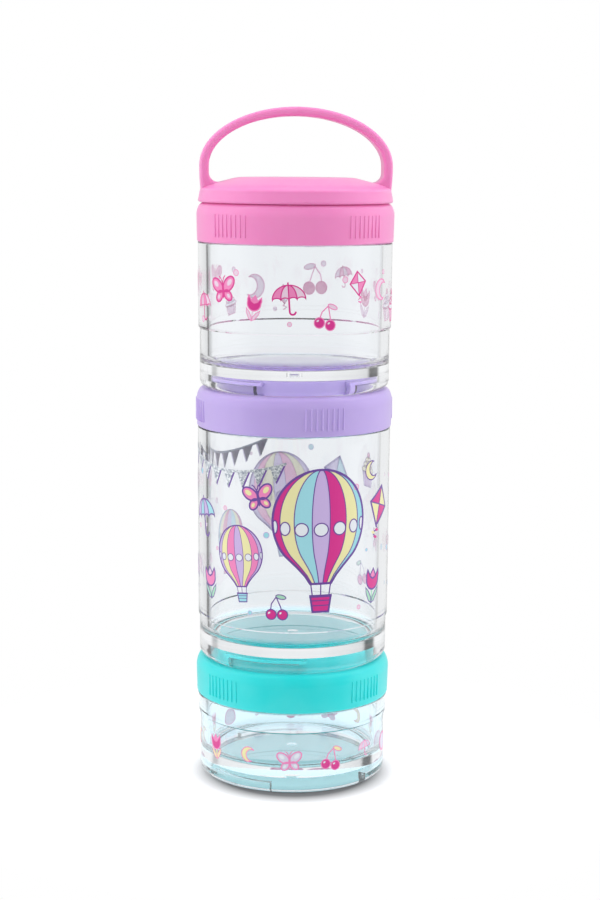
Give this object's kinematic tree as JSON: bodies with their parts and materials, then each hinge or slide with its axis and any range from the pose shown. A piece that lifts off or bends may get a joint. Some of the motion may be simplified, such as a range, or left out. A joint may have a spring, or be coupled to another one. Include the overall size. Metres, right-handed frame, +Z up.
{
  "type": "stacking food container",
  "caption": "Round food container of clear cups that screw into coloured lids and twist together into a stack, under a cap with an arched carrying handle.",
  "frame": {"origin": "centre of the lowest cup's base ring, on the surface it stands on", "axes": "+Z up along the axis of the stack, +X along the handle's span, -Y the front"},
  "size_m": [0.0704, 0.0704, 0.2395],
  "materials": {
    "clear_copolyester": "polished, clear",
    "silicone": "matt",
    "teal_polypropylene": "satin",
    "purple_polypropylene": "satin",
    "pink_polypropylene": "satin"
  },
  "bodies": {
    "lower_cup": {"lower_cup": "clear_copolyester"},
    "teal_seal": {"teal_seal": "silicone"},
    "teal_lid": {"teal_lid": "teal_polypropylene"},
    "middle_cup": {"middle_cup": "clear_copolyester"},
    "purple_seal": {"purple_seal": "silicone"},
    "purple_lid": {"purple_lid": "purple_polypropylene"},
    "upper_cup": {"upper_cup": "clear_copolyester"},
    "pink_seal": {"pink_seal": "silicone"},
    "pink_lid": {"pink_lid": "pink_polypropylene"},
    "carrying_cap": {"carrying_cap": "pink_polypropylene"}
  },
  "joints": [
    {"name": "teal_lid_rise", "type": "slide", "parent": "lower_cup", "child": "teal_seal", "axis": [0, 0, 1], "range_m": [0, 0.012]},
    {"name": "teal_lid_turn", "type": "hinge", "parent": "teal_seal", "child": "teal_lid", "pos_m": [0, 0, 0.0296], "axis": [0, 0, 1], "range_deg": [0, 360]},
    {"name": "middle_cup_twist", "type": "hinge", "parent": "teal_lid", "child": "middle_cup", "pos_m": [0, 0, 0.0433], "axis": [0, 0, 1], "range_deg": [0, 60]},
    {"name": "purple_lid_rise", "type": "slide", "parent": "middle_cup", "child": "purple_seal", "axis": [0, 0, 1], "range_m": [0, 0.012]},
    {"name": "purple_lid_turn", "type": "hinge", "parent": "purple_seal", "child": "purple_lid", "pos_m": [0, 0, 0.1272], "axis": [0, 0, 1], "range_deg": [0, 360]},
    {"name": "upper_cup_twist", "type": "hinge", "parent": "purple_lid", "child": "upper_cup", "pos_m": [0, 0, 0.1409], "axis": [0, 0, 1], "range_deg": [0, 60]},
    {"name": "pink_lid_rise", "type": "slide", "parent": "upper_cup", "child": "pink_seal", "axis": [0, 0, 1], "range_m": [0, 0.012]},
    {"name": "pink_lid_turn", "type": "hinge", "parent": "pink_seal", "child": "pink_lid", "pos_m": [0, 0, 0.1926], "axis": [0, 0, 1], "range_deg": [0, 360]},
    {"name": "carrying_cap_twist", "type": "hinge", "parent": "pink_lid", "child": "carrying_cap", "pos_m": [0, 0, 0.2063], "axis": [0, 0, 1], "range_deg": [0, 60]}
  ],
  "couplings": [
    {"joint": "teal_lid_rise", "follows": "teal_lid_turn", "m_per_rad": 0.0019099},
    {"joint": "purple_lid_rise", "follows": "purple_lid_turn", "m_per_rad": 0.0019099},
    {"joint": "pink_lid_rise", "follows": "pink_lid_turn", "m_per_rad": 0.0019099}
  ]
}
